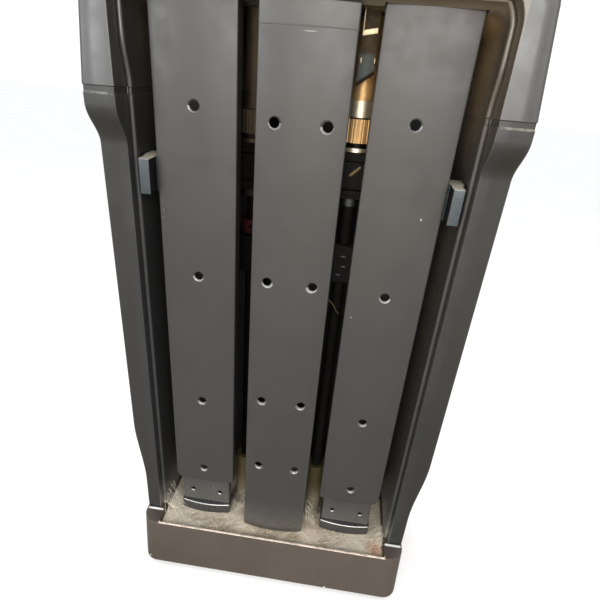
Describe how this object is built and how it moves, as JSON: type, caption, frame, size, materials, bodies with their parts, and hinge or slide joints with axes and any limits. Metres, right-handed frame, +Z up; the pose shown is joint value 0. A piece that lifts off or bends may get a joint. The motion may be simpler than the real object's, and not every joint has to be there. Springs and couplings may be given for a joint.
{
  "type": "marimba end stand",
  "caption": "Upright dark grey end stand of a concert marimba: moulded casing round a fixed column and sleeves that slide over posts to set height, with side locks.",
  "frame": {"origin": "on the floor under the middle of the base", "axes": "+Z up, the open front faces -Y, +X to the right seen from the front"},
  "size_m": [0.468, 0.196, 0.948],
  "materials": {
    "casing_plastic": "satin moulded",
    "shell_plastic": "satin moulded",
    "plinth_plastic": "satin moulded, dusty",
    "cover_plastic": "fine grained",
    "tray_plastic": "dusty",
    "rubber": "matte",
    "plain_steel": "plain",
    "fastener_steel": "zinc plated",
    "black_steel": "black",
    "bar_aluminium": "dark satin anodised",
    "post_aluminium": "dark satin anodised",
    "cap_plastic": "satin",
    "foot_iron": "painted dark grey",
    "nylon": "natural",
    "dull_brass": "tarnished dark",
    "black_plastic": "matte",
    "red_aluminium": "red anodised",
    "alloy": "plain machined",
    "crosshead_aluminium": "black anodised",
    "brass": "polished",
    "rod_chrome": "polished",
    "lock_plastic": "satin grey"
  },
  "bodies": {
    "casing": {"base_plinth": "plinth_plastic", "base_plate": "plain_steel", "base_plate_screws": "fastener_steel", "rubber_feet": "rubber", "pedestals": "plain_steel", "floor_tray": "tray_plastic", "tray_screws": "fastener_steel", "left_lower_cheek": "casing_plastic", "right_lower_cheek": "casing_plastic", "upper_shell": "shell_plastic", "seam_bolts": "fastener_steel", "cheek_bolts": "fastener_steel", "back_cover": "cover_plastic", "back_cover_screws": "black_steel", "centre_column": "bar_aluminium", "column_cap": "cap_plastic", "column_foot": "plain_steel", "column_screws": "fastener_steel", "left_post": "post_aluminium", "right_post": "post_aluminium", "left_post_foot": "foot_iron", "right_post_foot": "foot_iron", "post_screws": "black_steel", "foot_bolts": "fastener_steel", "left_glide_pads": "nylon", "right_glide_pads": "nylon", "left_guide_rod": "black_steel", "right_guide_rod": "black_steel", "rod_sockets": "dull_brass", "rod_bracket": "black_plastic", "bracket_screws": "fastener_steel", "stop_collar": "red_aluminium", "head_bushes": "nylon", "gas_cylinder": "black_steel", "gas_gland": "alloy", "gas_bracket": "plain_steel", "gas_pin": "fastener_steel", "left_lock_spring": "fastener_steel", "right_lock_spring": "fastener_steel"},
    "lift": {"left_sleeve": "bar_aluminium", "right_sleeve": "bar_aluminium", "sleeve_blocks": "alloy", "crosshead": "crosshead_aluminium", "crosshead_bolts": "fastener_steel", "yoke": "black_steel", "yoke_screws": "fastener_steel", "left_lift_tube": "brass", "right_lift_tube": "brass", "clamp_nuts": "brass", "clamp_collars": "brass", "lift_bushes": "plain_steel", "gas_rod": "rod_chrome", "gas_rod_nut": "fastener_steel"},
    "left_lock": {"left_lock_block": "lock_plastic", "left_lock_pin": "fastener_steel", "left_lock_knob": "black_plastic"},
    "right_lock": {"right_lock_block": "lock_plastic", "right_lock_pin": "fastener_steel", "right_lock_knob": "black_plastic"}
  },
  "joints": [
    {"name": "height_slide", "type": "slide", "parent": "casing", "child": "lift", "axis": [0, 0, 1], "range_m": [-0.03, 0.08]},
    {"name": "left_lock_slide", "type": "slide", "parent": "casing", "child": "left_lock", "axis": [-1, 0, 0], "range_m": [0, 0.0035], "stiffness_N_per_m": 1500, "springref_m": -0.004, "deforming": ["left_lock_spring"]},
    {"name": "right_lock_slide", "type": "slide", "parent": "casing", "child": "right_lock", "axis": [1, 0, 0], "range_m": [0, 0.0035], "stiffness_N_per_m": 1500, "springref_m": -0.004, "deforming": ["right_lock_spring"]}
  ]
}
